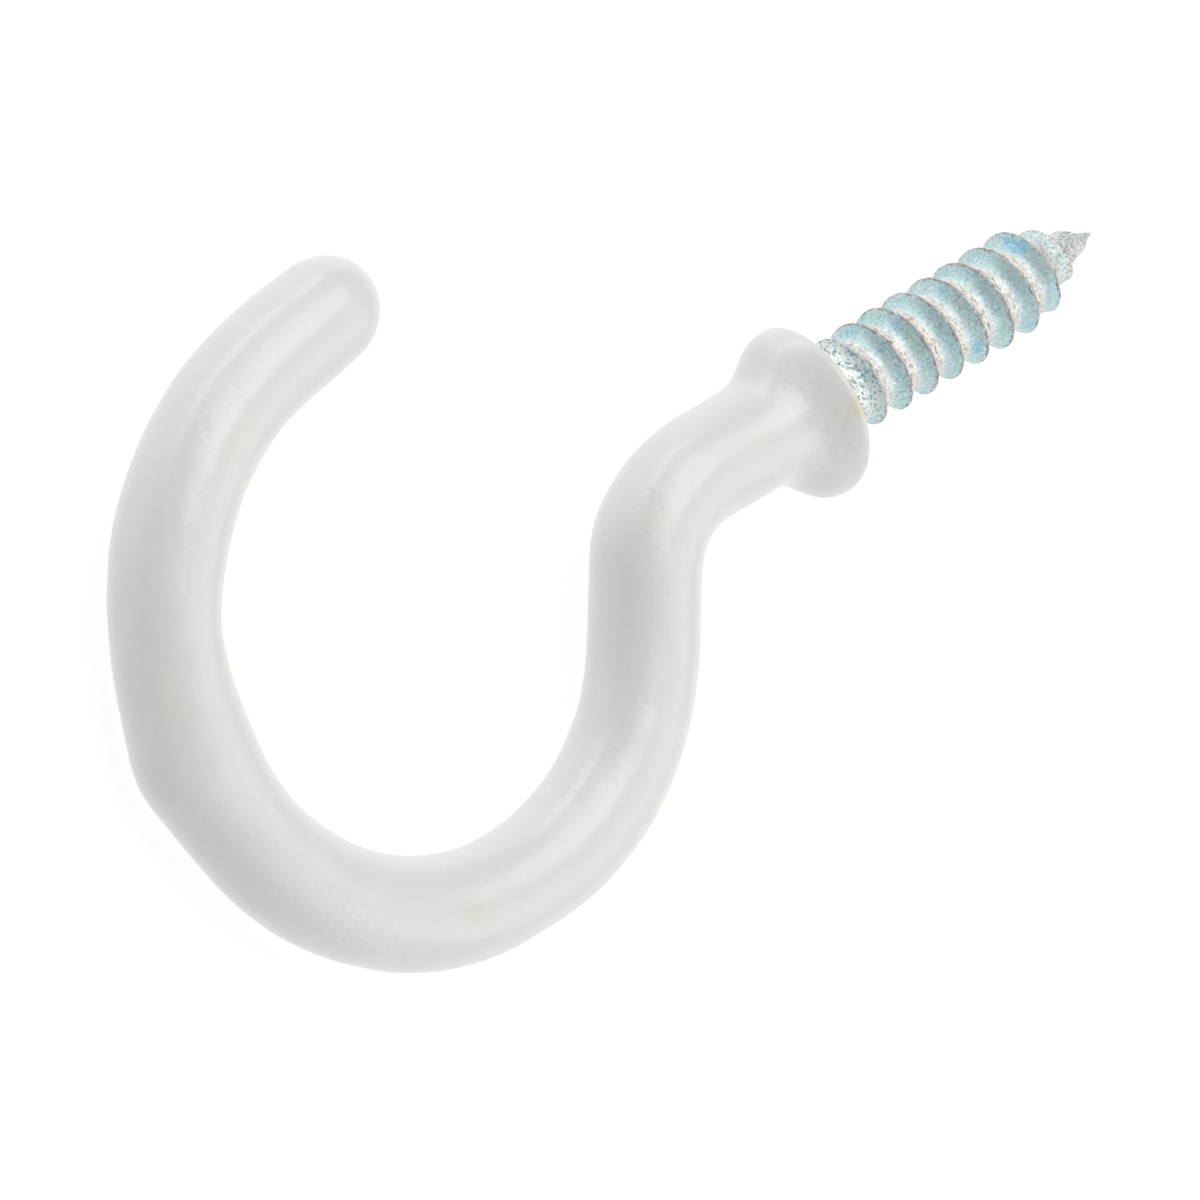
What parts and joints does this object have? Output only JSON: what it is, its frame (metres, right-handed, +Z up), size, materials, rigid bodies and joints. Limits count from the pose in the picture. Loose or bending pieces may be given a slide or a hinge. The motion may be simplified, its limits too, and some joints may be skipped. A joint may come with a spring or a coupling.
{
  "type": "screw hook",
  "caption": "Shouldered screw hook: a round wire bent into an open hook and dipped in white plastic, with a rounded collar and a bare metal wood-screw thread tapering to a point.",
  "frame": {"origin": "centre of the bounding box, on the flat surface that the hook lies on", "axes": "+X along the screw towards its point, which rises by 2.5 degrees; +Y towards the tip of the hook; +Z up from the surface that the hook lies on"},
  "size_m": [0.0404, 0.0228, 0.0055],
  "materials": {
    "steel": "zinc plated with a pale blue passivated sheen, satin, mottled in the thread's grooves",
    "coat": "dipped soft vinyl, off-white, smooth and semi-gloss"
  },
  "bodies": {
    "root": {"steel_hook": "steel", "plastic_coat": "coat"}
  },
  "joints": []
}
